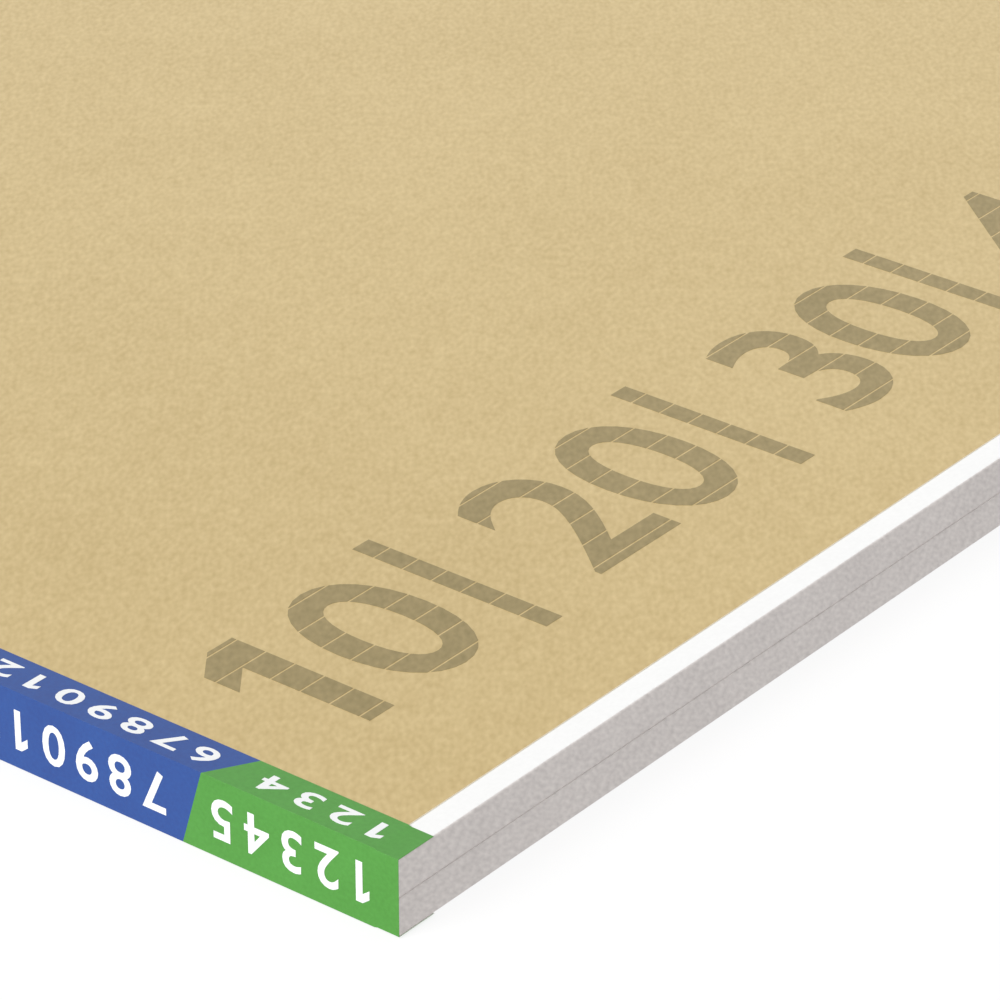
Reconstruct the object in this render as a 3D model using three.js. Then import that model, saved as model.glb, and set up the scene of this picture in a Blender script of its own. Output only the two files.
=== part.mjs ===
// A taped pair of drywall sheets, packed face to face with their backs outwards.
//
// Each sheet is a gypsum core between two papers. The face paper covers the face, folds up round
// both long edges and laps onto the back, where the back paper covers all of the lap but a narrow
// strip. A tape folded over each cut end holds the two sheets together.
//
// Units are millimetres. X runs across the sheets, Y along them and Z up. The origin lies on the
// ground, under the middle of the pair.

import * as THREE from "three";

// ---- Driving dimensions ----

const SHEET_WIDTH = 1220;            // from long edge to long edge
const SHEET_LENGTH = 2440;           // from cut end to cut end
const SHEET_THICKNESS = 10;          // one sheet, over both papers
const FACE_PAPER_THICKNESS = 0.3;
const BACK_PAPER_THICKNESS = 0.25;
const CORE_EDGE_RADIUS = 0.2;        // on the core's four long arrises, under the folded paper
const LAP_SHOWN = 7;                 // strip of the lap that the back paper leaves bare
const LAP_COVERED = 18;              // rest of the lap, glued under the back paper
const TAPE_THICKNESS = 0.15;
const TAPE_FLAP = 12;                // each flap, from the tape's outer face to the flap's edge
const TAPE_SLOPE = 1;                // run in which a flap comes down from the back paper to the lap

const ARC_STEPS = 4;                 // facets in each quarter of a rounded arris

// ---- Heights above a sheet's own face ----

const LAP_OUTSIDE = SHEET_THICKNESS - BACK_PAPER_THICKNESS;
const LAP_INSIDE = LAP_OUTSIDE - FACE_PAPER_THICKNESS;

// ---- Places across the sheet, from its middle ----

const SHEET_SIDE = SHEET_WIDTH / 2;
const BACK_PAPER_SIDE = SHEET_SIDE - LAP_SHOWN;
const LAP_END = BACK_PAPER_SIDE - LAP_COVERED;

// ---- Heights above the ground ----

const LOWER_BACK = TAPE_THICKNESS;
const JOINT = LOWER_BACK + SHEET_THICKNESS;
const UPPER_BACK = JOINT + SHEET_THICKNESS;

const UP = 1;
const DOWN = -1;
const FRONT = -1;
const REAR = 1;

const GYPSUM = { color: 0xe8e5dd, roughness: 0.95, metalness: 0 };
const FACE_PAPER = { color: 0xf4f3ee, roughness: 0.85, metalness: 0 };
const BACK_PAPER = { color: 0xd4be8f, roughness: 0.9, metalness: 0 };
const PRINTED_TAPE = { color: 0x4565ad, roughness: 0.55, metalness: 0 };

// Pieces that touch share one plane, so both need the very same coordinates. Rounding to a
// ten-thousandth of a millimetre takes away what different sums leave in the last digits.
function rounded(millimetres) {
  return Math.round(millimetres * 1e4) / 1e4;
}

// Points on a quarter of a circle, counter-clockwise from the given number of quarter turns.
function quarterArc(centreX, centreY, radius, quarterTurns) {
  const points = [];
  for (let step = 0; step <= ARC_STEPS; step += 1) {
    const angle = (quarterTurns + step / ARC_STEPS) * (Math.PI / 2);
    const x = centreX + radius * Math.cos(angle);
    const y = centreY + radius * Math.sin(angle);
    points.push(new THREE.Vector2(x, y));
  }
  return points;
}

// Extrudes an outline between the stations, and puts each of its points where place() says.
function extruded(outline, stations, place) {
  const last = stations.length - 1;
  const shape = new THREE.Shape(outline);
  const geometry = new THREE.ExtrudeGeometry(shape, { depth: last, steps: last, bevelEnabled: false });
  const points = geometry.attributes.position;
  for (let index = 0; index < points.count; index += 1) {
    const station = stations[Math.round(points.getZ(index))];
    const [x, y, z] = place(points.getX(index), points.getY(index), station);
    points.setXYZ(index, rounded(x), rounded(y), rounded(z));
  }
  geometry.computeVertexNormals();
  return geometry;
}

// ---- One sheet ----

// The line that the face paper follows round a sheet, seen from the cut end: from the left lap's
// end out to the left edge, under the face and up again to the right lap's end. With no offset it
// is the core's surface, and offset by the paper's thickness it is the paper's outer side.
function foldLine(offset) {
  const radius = CORE_EDGE_RADIUS + offset;
  const arcSide = SHEET_SIDE - FACE_PAPER_THICKNESS - CORE_EDGE_RADIUS;
  const arcNearFace = FACE_PAPER_THICKNESS + CORE_EDGE_RADIUS;
  const arcNearBack = LAP_INSIDE - CORE_EDGE_RADIUS;
  return [
    new THREE.Vector2(-LAP_END, LAP_INSIDE + offset),
    ...quarterArc(-arcSide, arcNearBack, radius, 1),
    ...quarterArc(-arcSide, arcNearFace, radius, 2),
    ...quarterArc(arcSide, arcNearFace, radius, 3),
    ...quarterArc(arcSide, arcNearBack, radius, 0),
    new THREE.Vector2(LAP_END, LAP_INSIDE + offset),
  ];
}

// The core is one paper's thickness lower under each lap.
function coreOutline() {
  return [
    ...foldLine(0),
    new THREE.Vector2(LAP_END, LAP_OUTSIDE),
    new THREE.Vector2(-LAP_END, LAP_OUTSIDE),
  ];
}

function facePaperOutline() {
  return [...foldLine(FACE_PAPER_THICKNESS), ...foldLine(0).reverse()];
}

function backPaperOutline() {
  return [
    new THREE.Vector2(-BACK_PAPER_SIDE, LAP_OUTSIDE),
    new THREE.Vector2(BACK_PAPER_SIDE, LAP_OUTSIDE),
    new THREE.Vector2(BACK_PAPER_SIDE, SHEET_THICKNESS),
    new THREE.Vector2(-BACK_PAPER_SIDE, SHEET_THICKNESS),
  ];
}

// A piece of one sheet, run from cut end to cut end. The sheet's face lies on the joint between
// the two sheets, and its back looks up or down.
function sheetPiece(name, finish, outline, backLooks) {
  const ends = [SHEET_LENGTH / 2, -SHEET_LENGTH / 2];
  const place = (across, height, along) => [backLooks * across, along, JOINT + backLooks * height];
  const mesh = new THREE.Mesh(extruded(outline, ends, place), new THREE.MeshStandardMaterial(finish));
  mesh.name = name;
  return mesh;
}

function sheet(prefix, backLooks) {
  const group = new THREE.Group();
  group.add(sheetPiece(`${prefix}_gypsum_core`, GYPSUM, coreOutline(), backLooks));
  group.add(sheetPiece(`${prefix}_face_paper`, FACE_PAPER, facePaperOutline(), backLooks));
  group.add(sheetPiece(`${prefix}_back_paper`, BACK_PAPER, backPaperOutline(), backLooks));
  return group;
}

// ---- End tape ----

// The tape's profile, as points outwards from the cut end and up from the ground: a flap on the
// upper back, down over the cut end, and a flap under the lower back. Its outer folds are round,
// with the tape's own thickness as their radius, because it is creased over a sharp sawn edge.
function tapeOutline() {
  const flapEdge = TAPE_THICKNESS - TAPE_FLAP;
  return [
    new THREE.Vector2(flapEdge, UPPER_BACK),
    new THREE.Vector2(0, UPPER_BACK),
    new THREE.Vector2(0, LOWER_BACK),
    new THREE.Vector2(flapEdge, LOWER_BACK),
    new THREE.Vector2(flapEdge, LOWER_BACK - TAPE_THICKNESS),
    ...quarterArc(0, LOWER_BACK, TAPE_THICKNESS, 3),
    ...quarterArc(0, UPPER_BACK, TAPE_THICKNESS, 0),
    new THREE.Vector2(flapEdge, UPPER_BACK + TAPE_THICKNESS),
  ];
}

// The tape runs from long edge to long edge. Past the back paper's side it slopes down onto the
// bare strip of the lap, which lies lower by the back paper's thickness.
function endTape(name, end) {
  const slopeFoot = BACK_PAPER_SIDE + TAPE_SLOPE;
  const stations = [
    { across: -SHEET_SIDE, drop: BACK_PAPER_THICKNESS },
    { across: -slopeFoot, drop: BACK_PAPER_THICKNESS },
    { across: -BACK_PAPER_SIDE, drop: 0 },
    { across: BACK_PAPER_SIDE, drop: 0 },
    { across: slopeFoot, drop: BACK_PAPER_THICKNESS },
    { across: SHEET_SIDE, drop: BACK_PAPER_THICKNESS },
  ];
  const place = (outwards, height, station) => [
    end * station.across,
    end * (SHEET_LENGTH / 2 + outwards),
    height - Math.sign(height - JOINT) * station.drop,
  ];
  const mesh = new THREE.Mesh(
    extruded(tapeOutline(), stations, place),
    new THREE.MeshStandardMaterial(PRINTED_TAPE),
  );
  mesh.name = name;
  return mesh;
}

// ---- The pair ----

const pair = new THREE.Group();
pair.add(sheet("lower", DOWN));
pair.add(sheet("upper", UP));
pair.add(endTape("front_end_tape", FRONT));
pair.add(endTape("rear_end_tape", REAR));

export default pair;
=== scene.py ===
# %% [markdown]
# # A taped pair of drywall sheets
#
# Drywall is packed in pairs. Two sheets lie face to face, so that their good faces protect each
# other, and a printed tape folded over each cut end keeps them together. What we see is the back:
# brown kraft paper, a narrow white strip of the face paper along the long edge, and the tape.
#
# The pair's shape and size are already modelled. This lesson loads that model as a
# fixed frame, gives every surface its finish, remodels the two tapes with their print, prints a
# scale on the brown backs, and sets up the floor, the light and the camera.

# %% Load the imported model
import math

import bmesh
import bpy
from mathutils import Euler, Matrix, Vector


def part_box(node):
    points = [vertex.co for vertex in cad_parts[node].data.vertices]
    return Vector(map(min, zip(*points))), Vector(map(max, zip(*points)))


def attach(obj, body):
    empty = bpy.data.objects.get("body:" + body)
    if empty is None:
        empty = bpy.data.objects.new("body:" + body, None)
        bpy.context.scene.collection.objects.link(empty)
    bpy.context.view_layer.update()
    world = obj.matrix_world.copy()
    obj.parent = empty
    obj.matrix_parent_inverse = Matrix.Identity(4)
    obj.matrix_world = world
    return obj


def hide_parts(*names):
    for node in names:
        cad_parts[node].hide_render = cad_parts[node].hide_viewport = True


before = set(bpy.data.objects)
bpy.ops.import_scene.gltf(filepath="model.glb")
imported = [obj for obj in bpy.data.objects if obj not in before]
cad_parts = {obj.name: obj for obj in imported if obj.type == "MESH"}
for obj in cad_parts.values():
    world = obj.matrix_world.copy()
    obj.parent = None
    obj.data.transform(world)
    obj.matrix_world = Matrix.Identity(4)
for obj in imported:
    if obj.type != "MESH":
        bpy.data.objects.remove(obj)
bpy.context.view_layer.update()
print("nodes:", ", ".join(sorted(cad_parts)))

# %% [markdown]
# ## Sizes to work from
#
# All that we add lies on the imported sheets, so its place is read from their boxes and no height
# or width is typed twice. Blender works in metres, and paper is thin, so a small function turns
# millimetres into metres.

# %% Measure the sheets
def mm(millimetres):
    return millimetres / 1000


tape_low, tape_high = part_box("front_end_tape")
_, back_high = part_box("upper_back_paper")
lap_low, lap_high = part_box("upper_face_paper")

side = lap_high.x                       # the long edge, from the middle
cut_end = -lap_low.y                    # the cut end, from the middle
joint = lap_low.z                       # the height where the two faces meet
back_side = back_high.x                 # the brown paper's own edge
back_top = back_high.z
back_bottom = 2 * joint - back_top
lap_step = back_top - lap_high.z        # the bare strip lies this much lower than the back
tape_thickness = tape_high.z - back_top
tape_reach = tape_high.y + cut_end      # how far a flap of the tape reaches onto the back
print(f"sheets {2 * side:.3f} x {2 * cut_end:.3f} m, {2 * (back_top - joint):.4f} m for the two")
print(f"bare strip {1000 * (side - back_side):.1f} mm, flap {1000 * tape_reach:.2f} mm")

# %% [markdown]
# ## The camera
#
# The camera looks down on one corner from in front and to the right, through a long lens. A long
# lens keeps far edges nearly as large as near ones, which is how building boards are often shown.
# Its place is given from the corner on the ground. It has no roll, so its sides stay upright.

# %% Place the camera
CAMERA_FROM_CORNER = Vector((0.5921, -0.7100, 0.6142))
CAMERA_AZIMUTH = math.radians(38.49)
CAMERA_ELEVATION = math.radians(28.75)
CAMERA_LENS = 185.8                     # millimetres
CAMERA_FRAME = 36                       # millimetres, the width that the lens is given for
CAMERA_SIGHT = 200                      # metres, past the floor's far end

bpy.ops.object.camera_add(location=Vector((side, -cut_end, 0)) + CAMERA_FROM_CORNER)
camera = bpy.context.object
camera.rotation_euler = Euler((math.pi / 2 - CAMERA_ELEVATION, 0, CAMERA_AZIMUTH))
camera.data.lens = CAMERA_LENS
camera.data.sensor_width = CAMERA_FRAME
camera.data.clip_end = CAMERA_SIGHT
scene = bpy.context.scene
scene.camera = camera
scene.view_settings.view_transform = "Standard"
print(f"camera {CAMERA_FROM_CORNER.length:.3f} m from the corner, lens {CAMERA_LENS} mm")

# %% [markdown]
# ## The lamp
#
# Plain studio light has two parts: white surroundings, which light everything evenly, and one
# large soft lamp, which gives form. The lamp stands in front and a little to the left, less than
# halfway up, so the taped end gets a little more light than the brown back, and the long edge on
# the right gets less. A sun lamp with a wide angle does this evenly over sheets of any length.
# Together the two give a surface that looks up a level of about 1, at which its colour shows as
# it is written.

# %% Set up the lamp
SURROUNDINGS = 0.5
LAMP_LEVEL = 0.83                       # on a surface that faces the lamp
LAMP_SOFTNESS = math.radians(50)
LAMP_AZIMUTH = math.radians(-12)        # from straight in front, towards the left
LAMP_ELEVATION = math.radians(37)
LAMP_PLACE = (0, -2, 3)                 # out of the way, as a sun shines alike from anywhere

bpy.ops.object.light_add(type="SUN", location=LAMP_PLACE)
lamp = bpy.context.object
lamp.name = "soft_lamp"
lamp.data.energy = LAMP_LEVEL * math.pi
lamp.data.angle = LAMP_SOFTNESS
lamp.rotation_euler = Euler((math.pi / 2 - LAMP_ELEVATION, 0, LAMP_AZIMUTH))
level = LAMP_LEVEL * math.sin(LAMP_ELEVATION) + SURROUNDINGS
print(f"level on a surface that looks up: {level:.2f}")

# %% [markdown]
# ## Helpers for materials
#
# Colours are written as they look on a screen, in sRGB hex, and one function turns them into the
# linear values that Blender computes with. A material is a tree of nodes. One function gives a
# node its inputs, each of them a plain value or the output of an earlier node, and one adds a
# node with its settings and inputs and returns its output, ready to be the next node's input.
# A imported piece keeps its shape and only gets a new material.

# %% Define the material helpers
def linear(hex_colour):
    """An sRGB hex colour as linear red, green, blue and alpha."""
    channels = [int(hex_colour[at : at + 2], 16) / 255 for at in (1, 3, 5)]
    return [c / 12.92 if c <= 0.04045 else ((c + 0.055) / 1.055) ** 2.4 for c in channels] + [1]


def feed(tree, node, inputs):
    """Gives a node its inputs, by name or by number."""
    for key, value in inputs.items():
        named = [s for s in node.inputs if s.enabled and s.name == key]
        socket = named[0] if named else node.inputs[key]
        if isinstance(value, bpy.types.NodeSocket):
            tree.links.new(value, socket)
        else:
            socket.default_value = value


def add(tree, kind, inputs=None, output=None, **settings):
    """Adds a node and returns its output, or the one of its outputs that is named."""
    node = tree.nodes.new(kind)
    for setting, value in settings.items():
        setattr(node, setting, value)
    feed(tree, node, inputs or {})
    return next(s for s in node.outputs if s.enabled and output in (None, s.name))


def new_material(name):
    """An empty material, its tree and the surface shader that its nodes feed."""
    material = bpy.data.materials.new(name)
    material.use_nodes = True
    return material, material.node_tree, material.node_tree.nodes["Principled BSDF"]


def dress(material, *nodes):
    """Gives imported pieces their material."""
    for node in nodes:
        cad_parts[node].material_slots[0].material = material


print("linear mid grey:", [round(c, 3) for c in linear("#808080")])

# %% [markdown]
# ## The surroundings
#
# The surroundings light the sheets at half strength. A camera ray that misses everything, and a
# reflection, see plain white instead, so the picture stays white without more light. The floor
# below makes the same distinction, so the test of the ray is a function of its own.

# %% Set the world
def sees_background(tree):
    """1 for a ray from the camera, a reflection or a ray through glass, and 0 for all others."""
    seen = add(tree, "ShaderNodeLightPath", output="Is Camera Ray")
    for ray in ("Is Glossy Ray", "Is Transmission Ray"):
        other = add(tree, "ShaderNodeLightPath", output=ray)
        seen = add(tree, "ShaderNodeMath", {0: seen, 1: other}, operation="MAXIMUM")
    return seen


world = bpy.data.worlds.new("white_surroundings")
scene.world = world
world.use_nodes = True
tree = world.node_tree
strength = add(tree, "ShaderNodeMapRange",
               {"Value": sees_background(tree), "To Min": SURROUNDINGS, "To Max": 1.0})
feed(tree, tree.nodes["Background"], {"Color": linear("#FFFFFF"), "Strength": strength})
print("world:", world.name)

# %% [markdown]
# ## The floor
#
# The floor is one large white plane just under the tapes. For the camera it is partly lit and
# partly glows, so it is plain white but the sheets' shadow still falls on it, faintly. Every
# other ray meets an even glow, no brighter than white paper under this light. It stands for the
# light that a pale studio throws back up, and keeps the foot of each edge as bright as its top.

# %% Make the floor
FLOOR_WIDTH = 160
FLOOR_BELOW = mm(0.2)
FLOOR_GLOW = 0.8                        # the part of its white that no shadow takes away
FLOOR_LIT = 0.22                        # the part that comes from the lamp and surroundings
FLOOR_BOUNCE = 0.72                     # what it throws back onto the sheets

floor_white, tree, shader = new_material("matt_white_floor")
tree.nodes.remove(shader)
lit = add(tree, "ShaderNodeBsdfDiffuse", {"Color": [FLOOR_LIT] * 3 + [1]})
glow = add(tree, "ShaderNodeEmission", {"Color": linear("#FFFFFF"), "Strength": FLOOR_GLOW})
pictured = add(tree, "ShaderNodeAddShader", {0: lit, 1: glow})
bounce = add(tree, "ShaderNodeEmission", {"Color": linear("#FFFFFF"), "Strength": FLOOR_BOUNCE})
floor_surface = add(tree, "ShaderNodeMixShader",
                    {0: sees_background(tree), 1: bounce, 2: pictured})
feed(tree, tree.nodes["Material Output"], {"Surface": floor_surface})

bpy.ops.object.select_all(action="DESELECT")
bpy.ops.mesh.primitive_plane_add(size=FLOOR_WIDTH, location=(0, 0, -FLOOR_BELOW))
floor = bpy.context.object
floor.name = "floor"
floor.data.materials.append(floor_white)
print("floor", FLOOR_WIDTH, "m wide")

# %% [markdown]
# ## Helpers for patterns
#
# Paper is uneven in several sizes at once: fibres, gatherings of fibres, clouds. Each size is a
# noise pattern, whose scale is worked out from a real size in millimetres, and one function adds
# a material's patterns up to a shade between its darkest tone and its palest. A pattern with a
# seed uses noise with a fourth dimension, in which the seed picks one of its many layouts. Every
# pattern is measured from the pieces' own origin, which is the pair's, and so are the borders
# between two finishes on one piece: they lie at a distance from a plane.

# %% Define the pattern helpers
def distance(tree, axis, plane=0):
    """How far a place is from a plane that stands across an axis."""
    place = add(tree, "ShaderNodeTexCoord", output="Object")
    along = add(tree, "ShaderNodeSeparateXYZ", {"Vector": place}, output=axis)
    off = add(tree, "ShaderNodeMath", {0: along, 1: plane}, operation="SUBTRACT")
    return add(tree, "ShaderNodeMath", {0: off}, operation="ABSOLUTE")


def layered_shade(tree, *patterns):
    """Noise patterns added up, from 0, the darkest tone, to 1, the palest."""
    shade = 0.5 - sum(strength for *_, strength in patterns) / 2
    for place, size, detail, seed, strength in patterns:
        layout = {} if seed is None else {"W": seed}
        noise = add(tree, "ShaderNodeTexNoise",
                    {"Vector": place, "Scale": 1 / size, "Detail": detail, **layout},
                    noise_dimensions="4D" if layout else "3D")
        shade = add(tree, "ShaderNodeMath", {0: noise, 1: strength, 2: shade},
                    operation="MULTIPLY_ADD")
    return add(tree, "ShaderNodeClamp", {"Value": shade})


print("patterns have 0.5 as their middle shade")

# %% [markdown]
# ## Kraft paper
#
# The back of drywall is kraft paper made from recycled fibre. It is matt and evenly brown from
# afar. Near to, it is a felt: fibres gather in flocs a millimetre wide, which are drawn out at a
# slant by the shaking of the paper machine's wire, single bundles run a little along the sheet,
# and wide soft clouds show where the pulp was uneven. The print on the paper uses the same shade
# and the same felted surface, because ink lets them through.
#
# Loose fibre ends stand up from the felt and catch the light when it is seen at a low angle. That
# is a little sheen. The slowest cloud paints more sheen into the colour: it is laid so that the
# paper is darker at the front right corner and paler away from it. Where the paper is cut along
# its long sides, the torn fibres are paler.

# %% Make the kraft paper
KRAFT_FLOC = mm(1.25)                   # width of a gathering of fibres
FLOC_STRETCH = 1.9                      # its length, in widths
FLOC_SLANT = math.radians(38)           # how far it is turned from the sheet's length
KRAFT_FIBRE = mm(0.9)                   # width of a fibre bundle
FIBRE_STRETCH = 3                       # a bundle's length, in widths
KRAFT_MOTTLE = mm(4)
PULP_CLOUD = mm(45)
ROLL_CLOUD_AND_PAINTED_SHEEN = mm(450)                    # the roll's slow changes, and a painted sheen
KRAFT_RELIEF = mm(0.04)
KRAFT_ROUGH = 0.47                      # in the hollows, where the shade is dark
KRAFT_SMOOTH = 0.37                     # on the raised fibres
CUT_PAPER = mm(0.08)                    # how far in the paler cut reaches


def kraft_shade(tree):
    """The paper's shade at each place."""
    place = add(tree, "ShaderNodeTexCoord", output="Object")
    slanted = add(tree, "ShaderNodeMapping",
                  {"Vector": place, "Rotation": (0, 0, FLOC_SLANT),
                   "Scale": (1, FLOC_STRETCH, 1)}, vector_type="TEXTURE")
    run = add(tree, "ShaderNodeMapping",
              {"Vector": place, "Scale": (1, FIBRE_STRETCH, 1)}, vector_type="TEXTURE")
    return layered_shade(
        tree,
        # place, size, detail, seed, strength
        (slanted, KRAFT_FLOC, 0.7, 0, 1.4),
        (run, KRAFT_FIBRE, 1, 1, 0.3),
        (slanted, KRAFT_MOTTLE, 1, 2, 0.65),
        (place, PULP_CLOUD, 3, 3, 0.6),
        # partly the roll's slow change, partly a painted sheen: its seed darkens the front right
        # corner and pales the rest
        (place, ROLL_CLOUD_AND_PAINTED_SHEEN, 1, 25, 0.55),
    )


def lay_on_felt(tree, shader, shade, colour):
    """Gives the shader a colour on kraft, with the felt's relief and uneven gloss."""
    rough = add(tree, "ShaderNodeMapRange",
                {"Value": shade, "To Min": KRAFT_ROUGH, "To Max": KRAFT_SMOOTH})
    relief = add(tree, "ShaderNodeBump",
                 {"Height": shade, "Distance": KRAFT_RELIEF, "Strength": 0.6})
    feed(tree, shader, {"Base Color": colour, "Roughness": rough, "Normal": relief})


def kraft_paper():
    """Recycled kraft: matt brown, with the light catching on its felt of fibres."""
    material, tree, shader = new_material("recycled_kraft_paper")
    shade = kraft_shade(tree)
    colour = add(tree, "ShaderNodeMix",
                 {"Factor": shade, "A": linear("#C2A972"), "B": linear("#D7BF88")},
                 data_type="RGBA")
    on_cut = add(tree, "ShaderNodeMapRange",
                 {"Value": distance(tree, "X"), "From Min": back_side - CUT_PAPER,
                  "From Max": back_side - CUT_PAPER / 2})
    colour = add(tree, "ShaderNodeMix",
                 {"Factor": on_cut, "A": colour, "B": linear("#F2E6CC")}, data_type="RGBA")
    lay_on_felt(tree, shader, shade, colour)
    feed(tree, shader, {"Specular IOR Level": 0.5, "Sheen Weight": 0.4, "Sheen Roughness": 0.3,
                        "Sheen Tint": linear("#FFF6E4")})
    return material


kraft = kraft_paper()
dress(kraft, "upper_back_paper", "lower_back_paper")
print(kraft.name, "on both backs")

# %% [markdown]
# ## Face paper
#
# The face of drywall is smooth white paper. It is folded up round the long edges and laps onto the
# back, where a narrow strip of it stays bare. That strip is clean. The folded edge is what the
# sheets are slid, stacked and carried by, so it has a fine speckle of dust and gypsum in the
# paper's pores, and its grey is deepened with painted shade, as that side faces away from the
# lamp. The specks are longer than they are wide and lean, as the paper's fibres do. Where the two
# sheets meet, the colour is darker still: a painted shade in the groove between them. The material
# tells the strip from the edge by how far a place is from the middle, and finds the joint by its
# height.

# %% Make the face paper
FACE_SPECKLE = mm(1)
SPECKLE_STRETCH = 2                     # a speckle's length, in widths
SPECKLE_LEAN = math.radians(-35)        # of that length, from the sheet's own
FACE_CLOUD = mm(18)
CLEAN_UP_TO = mm(0.5)                   # in from the side, where the fold's curve begins
GREY_FROM = mm(0.2)                     # in from the side, where the curve is steep
JOINT_SHADE_REACH = mm(1.4)                    # how far from the joint the painted shade reaches
JOINT_SHADE_COVER = 0.05                       # how much it darkens the paper at the joint
FACE_RELIEF = mm(0.01)


def face_paper():
    """White-lined board: smooth and matt, greyer on the folded edge with dust and painted shade.
    """
    material, tree, shader = new_material("white_lined_face_paper")
    place = add(tree, "ShaderNodeTexCoord", output="Object")
    fibres = add(tree, "ShaderNodeMapping",
                 {"Vector": place, "Rotation": (SPECKLE_LEAN, 0, 0),
                  "Scale": (1, SPECKLE_STRETCH, 1)}, vector_type="TEXTURE")
    shade = layered_shade(
        tree,
        # place, size, detail, seed, strength
        (place, FACE_CLOUD, 3, None, 0.5),
        (fibres, FACE_SPECKLE, 0.7, None, 1.3),
    )
    clean = add(tree, "ShaderNodeMix",
                {"Factor": shade, "A": linear("#F9F9F8"), "B": linear("#FEFEFD")},
                data_type="RGBA")
    # the folded edge's grey: partly dust, partly painted shade for the side that faces away from
    # the lamp
    rubbed_and_shaded = add(tree, "ShaderNodeMix",
                 {"Factor": shade, "A": linear("#D9D2CF"), "B": linear("#F8F1ED")},
                 data_type="RGBA")
    # painted shade in the groove between the two sheets, darker towards the joint
    joint_shade = add(tree, "ShaderNodeMapRange",
               {"Value": distance(tree, "Z", joint), "From Max": JOINT_SHADE_REACH,
                "To Min": JOINT_SHADE_COVER, "To Max": 0.0}, interpolation_type="SMOOTHSTEP")
    rubbed_and_shaded = add(tree, "ShaderNodeMix",
                 {"Factor": joint_shade, "A": rubbed_and_shaded, "B": linear("#8F8A86")}, data_type="RGBA")
    # the grey of dust and painted shade covers the folded edge from where its curve begins
    on_shaded_edge = add(tree, "ShaderNodeMapRange",
                  {"Value": distance(tree, "X"), "From Min": side - CLEAN_UP_TO,
                   "From Max": side - GREY_FROM}, interpolation_type="SMOOTHSTEP")
    colour = add(tree, "ShaderNodeMix", {"Factor": on_shaded_edge, "A": clean, "B": rubbed_and_shaded},
                 data_type="RGBA")
    relief = add(tree, "ShaderNodeBump",
                 {"Height": shade, "Distance": FACE_RELIEF, "Strength": 0.5})
    feed(tree, shader, {"Base Color": colour, "Roughness": 0.8, "Normal": relief,
                        "Specular IOR Level": 0.3})
    return material


white_paper = face_paper()
dress(white_paper, "upper_face_paper", "lower_face_paper")
print(white_paper.name, "on both sheets")

# %% [markdown]
# ## Gypsum
#
# The core is gypsum plaster, foamed as it is cast. It is chalky off-white, full of round bubbles
# up to a millimetre wide. The tapes and papers hide it here, but anyone who takes the tape off
# sees it on the sawn end, so it gets its own finish: a cell pattern makes the bubbles, as pits
# that are sunk in the relief and painted dark with the shade that falls in them.

# %% Make the gypsum
BUBBLE_SPACING = mm(1.6)
BUBBLE_FLOOR = 0.12                     # a bubble's middle, in painted shade, as a share of the spacing
BUBBLE_RIM = 0.34                       # where solid plaster begins, as a share of it
BUBBLE_DEPTH = mm(0.3)
CHALK_GRAIN = mm(0.4)
CHALK_CHANGE = 0.5                      # how far the grain moves the shade
PIT_SHADE = 0.35                        # taken off all over, so that the painted shade in the pits is darkest


def foamed_gypsum():
    """Sawn plaster: chalky, with the open halves of bubbles, their shade painted dark."""
    material, tree, shader = new_material("foamed_gypsum")
    place = add(tree, "ShaderNodeTexCoord", output="Object")
    bubbles = add(tree, "ShaderNodeTexVoronoi", {"Vector": place, "Scale": 1 / BUBBLE_SPACING},
                  output="Distance")
    chalk = add(tree, "ShaderNodeTexNoise",
                {"Vector": place, "Scale": 1 / CHALK_GRAIN, "Detail": 3})
    solid = add(tree, "ShaderNodeMapRange",
                {"Value": bubbles, "From Min": BUBBLE_FLOOR, "From Max": BUBBLE_RIM},
                interpolation_type="SMOOTHSTEP")
    shade = add(tree, "ShaderNodeMath", {0: chalk, 1: CHALK_CHANGE, 2: solid},
                operation="MULTIPLY_ADD")
    shade = add(tree, "ShaderNodeMath", {0: shade, 1: PIT_SHADE}, operation="SUBTRACT",
                use_clamp=True)
    # the pits' dark tone is painted shade
    colour = add(tree, "ShaderNodeMix",
                 {"Factor": shade, "A": linear("#BDB8AC"), "B": linear("#EDEAE2")},
                 data_type="RGBA")
    relief = add(tree, "ShaderNodeBump",
                 {"Height": shade, "Distance": BUBBLE_DEPTH, "Strength": 0.7})
    feed(tree, shader, {"Base Color": colour, "Roughness": 0.95, "Normal": relief,
                        "Specular IOR Level": 0.3})
    return material


gypsum = foamed_gypsum()
dress(gypsum, "upper_gypsum_core", "lower_gypsum_core")
print(gypsum.name, "in both cores")

# %% [markdown]
# ## Tape paper and its inks
#
# The end tape is coated white paper, printed blue with slanted green blocks and white numerals,
# and varnished a little. Flexible plates lay the ink down slightly unevenly, so both colours have
# a faint mottle. The ink fills the paper's pores and the varnish gives a soft sheen, so it is
# smoother than the kraft. The paper's own white is left on the glued side.

# %% Make the tape's materials
INK_MOTTLE = mm(1)
INK_BAND = mm(14)
COATING_RELIEF = mm(0.008)
GLOSS_CHANGE = 0.03                     # how far the mottle moves the roughness, up and down


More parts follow.
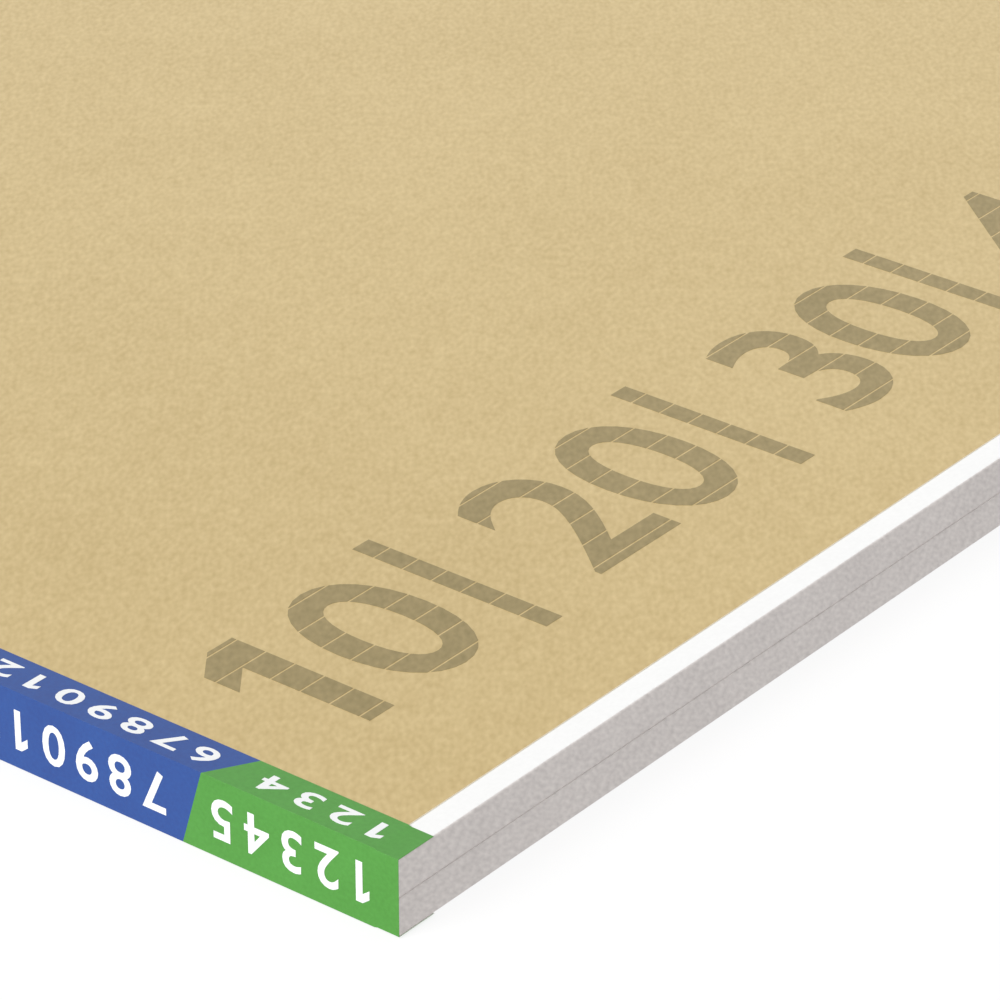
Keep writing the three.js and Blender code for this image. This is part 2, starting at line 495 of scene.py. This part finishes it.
def coated_paper(name, dark, pale, roughness):
    """Coated paper under one flat ink, a little uneven in strength."""
    material, tree, shader = new_material(name)
    place = add(tree, "ShaderNodeTexCoord", output="Object")
    shade = layered_shade(
        tree,
        # place, size, detail, seed, strength
        (place, INK_BAND, 2, None, 0.7),
        (place, INK_MOTTLE, 2, None, 1),
    )
    colour = add(tree, "ShaderNodeMix",
                 {"Factor": shade, "A": linear(dark), "B": linear(pale)}, data_type="RGBA")
    rough = add(tree, "ShaderNodeMapRange",
                {"Value": shade, "To Min": roughness - GLOSS_CHANGE,
                 "To Max": roughness + GLOSS_CHANGE})
    relief = add(tree, "ShaderNodeBump",
                 {"Height": shade, "Distance": COATING_RELIEF, "Strength": 0.5})
    feed(tree, shader, {"Base Color": colour, "Roughness": rough, "Normal": relief,
                        "Specular IOR Level": 0.5})
    return material


blue_tape = coated_paper("blue_printed_tape", "#033987", "#134D9B", 0.31)
green_tape = coated_paper("green_printed_tape", "#408A24", "#4F9D38", 0.31)
bare_tape = coated_paper("bare_tape_paper", "#E9E8E3", "#F4F3EF", 0.75)
white_ink = coated_paper("white_tape_ink", "#F1F3F4", "#F9FAFA", 0.5)
print("tape materials:", blue_tape.name, green_tape.name, bare_tape.name, white_ink.name)

# %% [markdown]
# ## Helpers for modelling
#
# Most steps below select some faces, edges or points by where they lie or which way they look,
# and then run one of Blender's editing operators on them, as one would by hand. An operator acts
# on all that is selected, so the helpers clear the selection first. A finished piece keeps its
# place in its mesh, with its object at the origin, so that every pattern measured from the origin
# stays put.

# %% Define the modelling helpers
UP = Vector((0, 0, 1))
FRONT = Vector((0, -1, 0))
LEFT = Vector((-1, 0, 0))
SAME_WAY = 0.7                          # the least cosine between a normal and a direction
NEAR = mm(0.1)                          # a point this near to a line counts as on it


def looks(face, direction):
    """Whether a face looks the given way, more or less."""
    return face.normal.dot(direction) > SAME_WAY


def choose(*pieces):
    """Selects these objects alone, the first of them active."""
    bpy.ops.object.select_all(action="DESELECT")
    for piece in pieces:
        piece.select_set(True)
    bpy.context.view_layer.objects.active = pieces[0]


def pick(kind, test):
    """In edit mode, selects the points, edges or faces that pass the test, and no others."""
    mesh = bmesh.from_edit_mesh(bpy.context.edit_object.data)
    bpy.ops.mesh.select_mode(type=kind)
    bpy.ops.mesh.select_all(action="DESELECT")
    for part in {"VERT": mesh.verts, "EDGE": mesh.edges, "FACE": mesh.faces}[kind]:
        if test(part):
            part.select_set(True)
    bmesh.update_edit_mesh(bpy.context.edit_object.data)


def settle(piece, name):
    """Names a piece and moves its place, turn and scale into its mesh."""
    choose(piece)
    bpy.ops.object.transform_apply(location=True, rotation=True, scale=True)
    piece.name = name
    piece.data.name = name
    return piece


def copy_of(piece, place=(0, 0, 0), turn=(0, 0, 0), scale=(1, 1, 1)):
    """A copy with a mesh of its own, placed, turned and scaled."""
    copied = piece.copy()
    copied.data = piece.data.copy()
    copied.location = place
    copied.rotation_euler = turn
    copied.scale = scale
    scene.collection.objects.link(copied)
    return copied


def apply_modifier(piece, kind, **settings):
    """Adds a modifier with its settings and applies it."""
    choose(piece)
    modifier = piece.modifiers.new(kind.lower(), kind)
    for setting, value in settings.items():
        setattr(modifier, setting, value)
    bpy.ops.object.modifier_apply(modifier=modifier.name)


def finish_piece(piece, slot, *nodes):
    """Hands a piece to the frame: the body it rides on, and the imported pieces it stands for. The
    slot is not used.
    """
    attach(piece, "root")
    if nodes:
        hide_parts(*nodes)
    box = [f"{1000 * size:.2f}" for size in piece.dimensions]
    print(piece.name, "is", " x ".join(box), "mm,", len(piece.data.polygons), "faces")


print("modelling helpers are ready")

# %% [markdown]
# ## Folding the tape
#
# The tape is one strip of paper folded twice: a flap on the upper back, a panel over the cut end
# and a flap on the lower back. We model it as the packer folds it. A flat plane is the first
# flap, its outer edge is extruded down the cut end, and that edge is extruded back underneath.
# Near each long edge the bare strip lies a paper's thickness lower, so there the flaps slope down
# onto it: two cuts across the strip mark the slope, and the points beyond it are moved.

# %% Fold the front tape
PRINT = mm(0.06)                        # how far a print stands up from its paper
TAPE_WALL = tape_thickness - PRINT      # leaves room for the print in the tape's own thickness
TAPE_SLOPE = mm(1)

bpy.ops.object.select_all(action="DESELECT")
bpy.ops.mesh.primitive_plane_add(size=1, location=(0, tape_reach / 2 - cut_end, back_top))
front_tape = bpy.context.object
front_tape.scale = (2 * side, tape_reach, 1)
settle(front_tape, "front_tape")

bpy.ops.object.mode_set(mode="EDIT")
pick("EDGE", lambda edge: all(point.co.y < -cut_end + NEAR for point in edge.verts))
bpy.ops.mesh.extrude_edges_move(TRANSFORM_OT_translate={"value": (0, 0, back_bottom - back_top)})
bpy.ops.mesh.extrude_edges_move(TRANSFORM_OT_translate={"value": (0, tape_reach, 0)})
bpy.ops.mesh.select_all(action="SELECT")
bpy.ops.mesh.normals_make_consistent(inside=False)

slope_foot = back_side + TAPE_SLOPE
for across in (-slope_foot, -back_side, back_side, slope_foot):
    bpy.ops.mesh.select_all(action="SELECT")
    bpy.ops.mesh.bisect(plane_co=(across, 0, 0), plane_no=(1, 0, 0))
for sheet_side in (1, -1):
    pick("VERT", lambda point: abs(point.co.x) > slope_foot - NEAR
         and sheet_side * (point.co.z - joint) > 0)
    bpy.ops.transform.translate(value=(0, 0, -sheet_side * lap_step))
bpy.ops.object.mode_set(mode="OBJECT")
print("folded strip:", len(front_tape.data.polygons), "faces")

# %% [markdown]
# ## The tape's colours
#
# The tape is blue, with slanted green blocks that follow each other along the roll, one of them
# across each corner of the sheet. A pattern in a material would blur at their borders when it is
# baked to a picture, so the borders are cut into the mesh as edges and the faces between them get
# the green. Each border leans one way on the panel and more on the flaps, so each of the three
# regions is selected by the way it faces and cut by its own slanted plane.

# %% Cut and colour the green blocks
BLOCK_SPACING = mm(305)
BLOCK_COUNT = 5                         # with the halves at both long edges
BLOCK_HALF = mm(55.8)                   # half a block's length at the upper fold
PANEL_LEAN = 0.3                        # sideways per height on the panel
FLAP_LEAN = 0.59                        # sideways per run on a flap
GREEN, GLUED = 1, 2                     # the tape's material slots, after 0, the blue

borders = [side - number * BLOCK_SPACING + half for number in range(BLOCK_COUNT)
           for half in (-BLOCK_HALF, BLOCK_HALF)]
borders = [across for across in borders if abs(across) < side]
lower_shift = PANEL_LEAN * (back_bottom - back_top)
regions = (
    # the way it looks, its borders' shift from the upper fold's, its fold's height, their lean
    (UP, 0, back_top, (1, -FLAP_LEAN, 0)),
    (FRONT, 0, back_top, (1, 0, -PANEL_LEAN)),
    (-UP, lower_shift, back_bottom, (1, FLAP_LEAN, 0)),
)


def is_green(face):
    """Follows the slant back to the upper fold, and tells whether a block is there."""
    middle = face.calc_center_median()
    half_of_pair = 1 if middle.z > joint else -1
    at_fold = (middle.x + PANEL_LEAN * (back_top - middle.z)
               - half_of_pair * FLAP_LEAN * (middle.y + cut_end))
    return (side - at_fold + BLOCK_HALF) % BLOCK_SPACING < 2 * BLOCK_HALF


for colour in (blue_tape, green_tape, bare_tape):
    front_tape.data.materials.append(colour)
choose(front_tape)
bpy.ops.object.mode_set(mode="EDIT")
for direction, shift, height, lean in regions:
    for across in borders:
        pick("FACE", lambda face: looks(face, direction))
        bpy.ops.mesh.bisect(plane_co=(across + shift, -cut_end, height), plane_no=lean)
pick("FACE", is_green)
front_tape.active_material_index = GREEN
bpy.ops.object.material_slot_assign()
bpy.ops.object.mode_set(mode="OBJECT")
print(len(borders), "borders between blue and green")

# %% [markdown]
# ## The tape's thickness
#
# A strip without thickness has no edge to catch the light. Solidify grows the wall outwards from
# the glued side, and gives that side the unprinted paper. The cut edges are a tenth of a
# millimetre high and take the ink that runs over them, so they keep its colour. The tape is
# creased over a sharp sawn edge, so its outer fold is round with the wall as its radius. Smooth
# shading would spread the fold's turn over the whole panel, so the normals are weighted by area:
# the large faces stay flat to the eye, and the fold and the slopes blend between them. The rear
# tape is the same strip, turned half way round.
#
# Solidify finds the glued side's material by counting on from the slot of the face it thickens,
# and stops at the last one, which is the unprinted paper.

# %% Thicken and crease the tape
FOLD_STEPS = 4                          # facets in each outer fold
SMOOTH_BELOW = math.radians(30)         # faces that meet at less than this are shaded as one

apply_modifier(front_tape, "SOLIDIFY", thickness=TAPE_WALL, offset=1, use_even_offset=True,
               material_offset=GLUED)
bpy.ops.object.mode_set(mode="EDIT")
pick("EDGE", lambda edge: all(point.co.y < -cut_end - TAPE_WALL / 2 for point in edge.verts)
     and any(looks(face, FRONT) for face in edge.link_faces)
     and any(looks(face, UP) or looks(face, -UP) for face in edge.link_faces))
bpy.ops.mesh.bevel(offset=TAPE_WALL, segments=FOLD_STEPS, affect="EDGES")
bpy.ops.object.mode_set(mode="OBJECT")
bpy.ops.object.shade_smooth_by_angle(angle=SMOOTH_BELOW)
apply_modifier(front_tape, "WEIGHTED_NORMAL", keep_sharp=True)
rear_tape = settle(copy_of(front_tape, turn=(0, 0, math.pi)), "rear_tape")
finish_piece(front_tape, "end_tape", "front_end_tape")
finish_piece(rear_tape, "end_tape", "rear_end_tape")

# %% [markdown]
# ## Bold numerals
#
# Both prints are scales with plain numerals. Each digit is modelled once for each print, with
# more steps in its curves where it is printed large, and copied. The font that comes with Blender
# is light, while packers print in bold, so the digit is thickened: it is drawn as a block, its
# two flat ends are taken off, the upright walls are moved outwards along their normals, and the
# ends are filled again. That font's 1 is a bare stroke, so the top of its left side is extruded
# into a flag. The master is one unit high, one thick, centred, and stands on the plane z = 0, so
# its scale is simply the size of the print.

# %% Model a bold digit
# All but the width are in units of the font size.
BOLDER = 0.014                          # how far the outline moves out
ONE_POINT = 0.004                       # points closer than this are merged
DIGIT_HEIGHT = 0.71
DIGIT_WIDTH = 0.66                      # as a share of the height
FLAG_FOOT = 0.54                        # where the flag of a 1 begins
FLAG_REACH = (-0.13, -0.1, 0)           # out to the left and down
HALF_BLOCK = 0.5                        # half the thickness of the block


def at_end(part, end):
    """Whether a face or edge lies in the block's upper end, 1, or its lower end, -1."""
    return all(point.co.z * end > HALF_BLOCK / 2 for point in part.verts)


def bold_digit(digit, curve_steps):
    """One digit as a closed block, with so many steps in each curve of its outline."""
    bpy.ops.object.select_all(action="DESELECT")
    bpy.ops.object.text_add()
    drawn = bpy.context.object.data
    drawn.body = str(digit)
    drawn.align_x = "CENTER"
    drawn.resolution_u = curve_steps
    drawn.extrude = HALF_BLOCK
    bpy.ops.object.convert(target="MESH")
    bpy.ops.object.mode_set(mode="EDIT")
    bpy.ops.mesh.select_all(action="SELECT")
    bpy.ops.mesh.remove_doubles(threshold=ONE_POINT)
    bpy.ops.mesh.normals_make_consistent(inside=False)
    pick("FACE", lambda face: at_end(face, 1) or at_end(face, -1))
    bpy.ops.mesh.delete(type="ONLY_FACE")
    pick("EDGE", lambda edge: not edge.link_faces)
    bpy.ops.mesh.delete(type="EDGE")
    bpy.ops.mesh.select_all(action="SELECT")
    bpy.ops.transform.shrink_fatten(value=BOLDER, use_even_offset=True)
    for end in (1, -1):
        pick("EDGE", lambda edge: at_end(edge, end))
        bpy.ops.mesh.fill()
    bpy.ops.mesh.select_all(action="SELECT")
    bpy.ops.mesh.normals_make_consistent(inside=False)
    if digit == 1:
        bpy.ops.mesh.bisect(plane_co=(0, FLAG_FOOT, 0), plane_no=(0, 1, 0))
        pick("FACE", lambda face: looks(face, LEFT) and face.calc_center_median().y > FLAG_FOOT)
        bpy.ops.mesh.extrude_region_move(TRANSFORM_OT_translate={"value": FLAG_REACH})
    bpy.ops.object.mode_set(mode="OBJECT")
    block = bpy.context.object
    middle = (block.bound_box[0][0] + block.bound_box[6][0]) / 2
    block.location = (-middle / DIGIT_HEIGHT, BOLDER / DIGIT_HEIGHT - 0.5, HALF_BLOCK)
    block.scale = (1 / DIGIT_HEIGHT, 1 / DIGIT_HEIGHT, 1)
    return settle(block, f"digit_{digit}")


print("a bold digit is", DIGIT_WIDTH, "as wide as high")

# %% [markdown]
# ## Setting numerals
#
# A label of one, two or three digits is set like type: its digits stand side by side, evenly
# spaced and centred on the label's place. Each is a copy of the master, turned so that it reads
# along the print and lies on its surface, and squeezed where three digits share a narrow place.

# %% Set labels from the master digits
def set_label(masters, label, place, turn, width, height, pitch=0):
    """Copies of the label's digits, each so wide and high, a pitch apart, around a place."""
    digits = []
    for index, character in enumerate(label):
        along = Vector(((index - (len(label) - 1) / 2) * pitch, 0, 0))
        spot = Vector(place) + Euler(turn).to_matrix() @ along
        digits.append(copy_of(masters[character], spot, turn, (width, height, PRINT)))
    return digits


def joined(parts, name, material):
    """Joins the parts of a print into one piece with one finish."""
    choose(*parts)
    bpy.ops.object.join()
    print_piece = settle(bpy.context.object, name)
    print_piece.data.materials.append(material)
    return print_piece


def drop(masters):
    """Takes the masters out of the scene when all their copies are made."""
    for master in masters.values():
        bpy.data.objects.remove(master)


print("labels are set from copies")

# %% [markdown]
# ## The tape's scale
#
# White numerals count the centimetres from the long edge, once on the panel and once more on the
# upper flap, where they can be read from above. Each is the last digit of its number, so all are
# equally wide. The tape is wrapped from below, so they read from right to left with their tops
# down. Where a border between blue and green would cut through a numeral, its place stays free.

# %% Print the tape
CENTIMETRE = mm(10)
TAPE_NUMBERS = round(2 * side / CENTIMETRE) - 1
PANEL_CURVES = 4                        # steps in each curve of a digit on the tape
FIGURE_WIDTH = mm(10.4)                 # gives a digit its own proportions on the panel
PANEL_FIGURE = mm(10.4)                 # height of a numeral on the panel
PANEL_MIDDLE = mm(10.2)                 # height of its middle above the ground
FLAP_FIGURE = mm(6.1)                   # height of a numeral on the flap
FLAP_MIDDLE = mm(6.05)                  # its middle, from the tape's outer face
FIGURE_MARGIN = mm(5)                   # a border stays this far from a numeral's middle


def free_of_borders(across, slant):
    """Whether no border crosses a numeral, where the slant has moved the borders by so much."""
    return all(abs(across - border - slant) > FIGURE_MARGIN for border in borders)


tape_digits = {str(digit): bold_digit(digit, PANEL_CURVES) for digit in range(10)}
on_panel = (-math.pi / 2, 0, math.pi)
on_flap = (0, 0, math.pi)
panel_slant = PANEL_LEAN * (PANEL_MIDDLE - back_top)
flap_slant = FLAP_LEAN * (FLAP_MIDDLE - tape_thickness)
figures = []
for number in range(1, TAPE_NUMBERS + 1):
    label = str(number % 10)
    across = side - number * CENTIMETRE
    if free_of_borders(across, panel_slant):
        place = (across, -cut_end - TAPE_WALL, PANEL_MIDDLE)
        figures += set_label(tape_digits, label, place, on_panel, FIGURE_WIDTH, PANEL_FIGURE)
    if free_of_borders(across, flap_slant):
        place = (across, tape_low.y + FLAP_MIDDLE, back_top + TAPE_WALL)
        figures += set_label(tape_digits, label, place, on_flap, FIGURE_WIDTH, FLAP_FIGURE)
print(len(figures), "digits on each tape")

front_scale = joined(figures, "front_tape_numerals", white_ink)
rear_scale = settle(copy_of(front_scale, turn=(0, 0, math.pi)), "rear_tape_numerals")
drop(tape_digits)
finish_piece(front_scale, "end_tape")
finish_piece(rear_scale, "end_tape")

# %% [markdown]
# ## Brown ink
#
# The back is printed with a thin brown ink that sinks into the kraft. So the print has the same
# shade of fibres and clouds as the paper, only darker: the material uses the paper's own pattern
# at the same places, with the ink's two tones.

# %% Make the brown ink
def sunk_brown_ink():
    """Thin ink on kraft: matt, with the paper's own mottle showing through."""
    material, tree, shader = new_material("sunk_brown_ink")
    shade = kraft_shade(tree)
    colour = add(tree, "ShaderNodeMix",
                 {"Factor": shade, "A": linear("#8D7E53"), "B": linear("#A59264")},
                 data_type="RGBA")
    lay_on_felt(tree, shader, shade, colour)
    feed(tree, shader, {"Specular IOR Level": 0.35})
    return material


brown_ink = sunk_brown_ink()
print("brown ink:", brown_ink.name)

# %% [markdown]
# ## The scale on the back
#
# A bold brown scale runs along the long edge, for cutting sheets to length: a long bar at every
# 100 mm, and in front of it the distance in centimetres. The printing roller has fine grooves
# that leave unprinted lines along the sheet. They are too crisp for a pattern in the ink, so a
# comb of thin blades, one blade repeated by an array, is cut out of each master. The masters are
# one unit high, as on the tape, so each length is divided by the height of the print.

# %% Groove the master digits and the master bar
BACK_FIGURE = mm(48)                    # height of the print, across the sheet
BAR_WIDTH = mm(6)
BAR_LENGTH = mm(58)
GROOVE_SPACING = mm(8.7)
GROOVE_WIDTH = mm(0.5)
GROOVE_START = mm(-21)                  # the first groove, from the print's middle line
GROOVE_COUNT = 6
BACK_CURVES = 8                         # steps in each curve of a digit on the back


def master_block(name, middle, width, height, depth):
    """A plain block among the masters, with its middle at the masters' half height."""
    bpy.ops.object.select_all(action="DESELECT")
    bpy.ops.mesh.primitive_cube_add(size=1, location=(0, middle / BACK_FIGURE, HALF_BLOCK))
    block = bpy.context.object
    block.scale = (width / BACK_FIGURE, height / BACK_FIGURE, depth)
    return settle(block, name)


# A blade sticks out of every master on all sides, so it cuts clean through.
comb = master_block("comb", GROOVE_START, 2 * BACK_FIGURE, GROOVE_WIDTH, depth=3)
apply_modifier(comb, "ARRAY", count=GROOVE_COUNT, use_relative_offset=False,
               use_constant_offset=True,
               constant_offset_displace=(0, GROOVE_SPACING / BACK_FIGURE, 0))
bar = master_block("bar", 0, BAR_WIDTH, BAR_LENGTH, depth=1)

back_masters = {str(digit): bold_digit(digit, BACK_CURVES) for digit in range(10)}
back_masters["|"] = bar
for master in back_masters.values():
    apply_modifier(master, "BOOLEAN", operation="DIFFERENCE", solver="EXACT", object=comb)
drop({"comb": comb})
faces = sum(len(master.data.polygons) for master in back_masters.values())
print("grooved masters:", faces, "faces")

# %% [markdown]
# The masters are now set along the sheet, and turned a quarter so that the scale reads away from
# the front end. Numbers of three digits are squeezed, so that each fits between its bars. The
# lower sheet has the same print. It lies on its face like the upper one, turned over about the
# length of the pair, so its print is the upper one's, turned over in the same way.

# %% Print both backs
BAR_SPACING = mm(100)
BAR_COUNT = int(2 * cut_end / BAR_SPACING)
BAND_MIDDLE = mm(65)                    # the middle of the print, in from the long edge
NUMBER_CLEAR = mm(8)                    # from a number's end to its bar
NUMBER_PITCH = mm(33.5)
NARROW = {2: 1, 3: 0.73}                # by the number of digits before a bar

along_sheet = (0, 0, math.pi / 2)
band = side - BAND_MIDDLE
marks = []
for number in range(1, BAR_COUNT + 1):
    bar_place = number * BAR_SPACING - cut_end
    marks += set_label(back_masters, "|", (band, bar_place, back_top), along_sheet,
                       BACK_FIGURE, BACK_FIGURE)
    label = str(10 * number)
    narrow = NARROW[len(label)]
    length = narrow * (DIGIT_WIDTH * BACK_FIGURE + (len(label) - 1) * NUMBER_PITCH)
    middle = bar_place - BAR_WIDTH / 2 - NUMBER_CLEAR - length / 2
    marks += set_label(back_masters, label, (band, middle, back_top), along_sheet,
                       narrow * BACK_FIGURE, BACK_FIGURE, narrow * NUMBER_PITCH)

upper_scale = joined(marks, "upper_back_scale", brown_ink)
turned_over = copy_of(upper_scale, place=(0, 0, 2 * joint), turn=(0, math.pi, 0))
lower_scale = settle(turned_over, "lower_back_scale")
drop(back_masters)
finish_piece(upper_scale, "back_paper")
finish_piece(lower_scale, "back_paper")
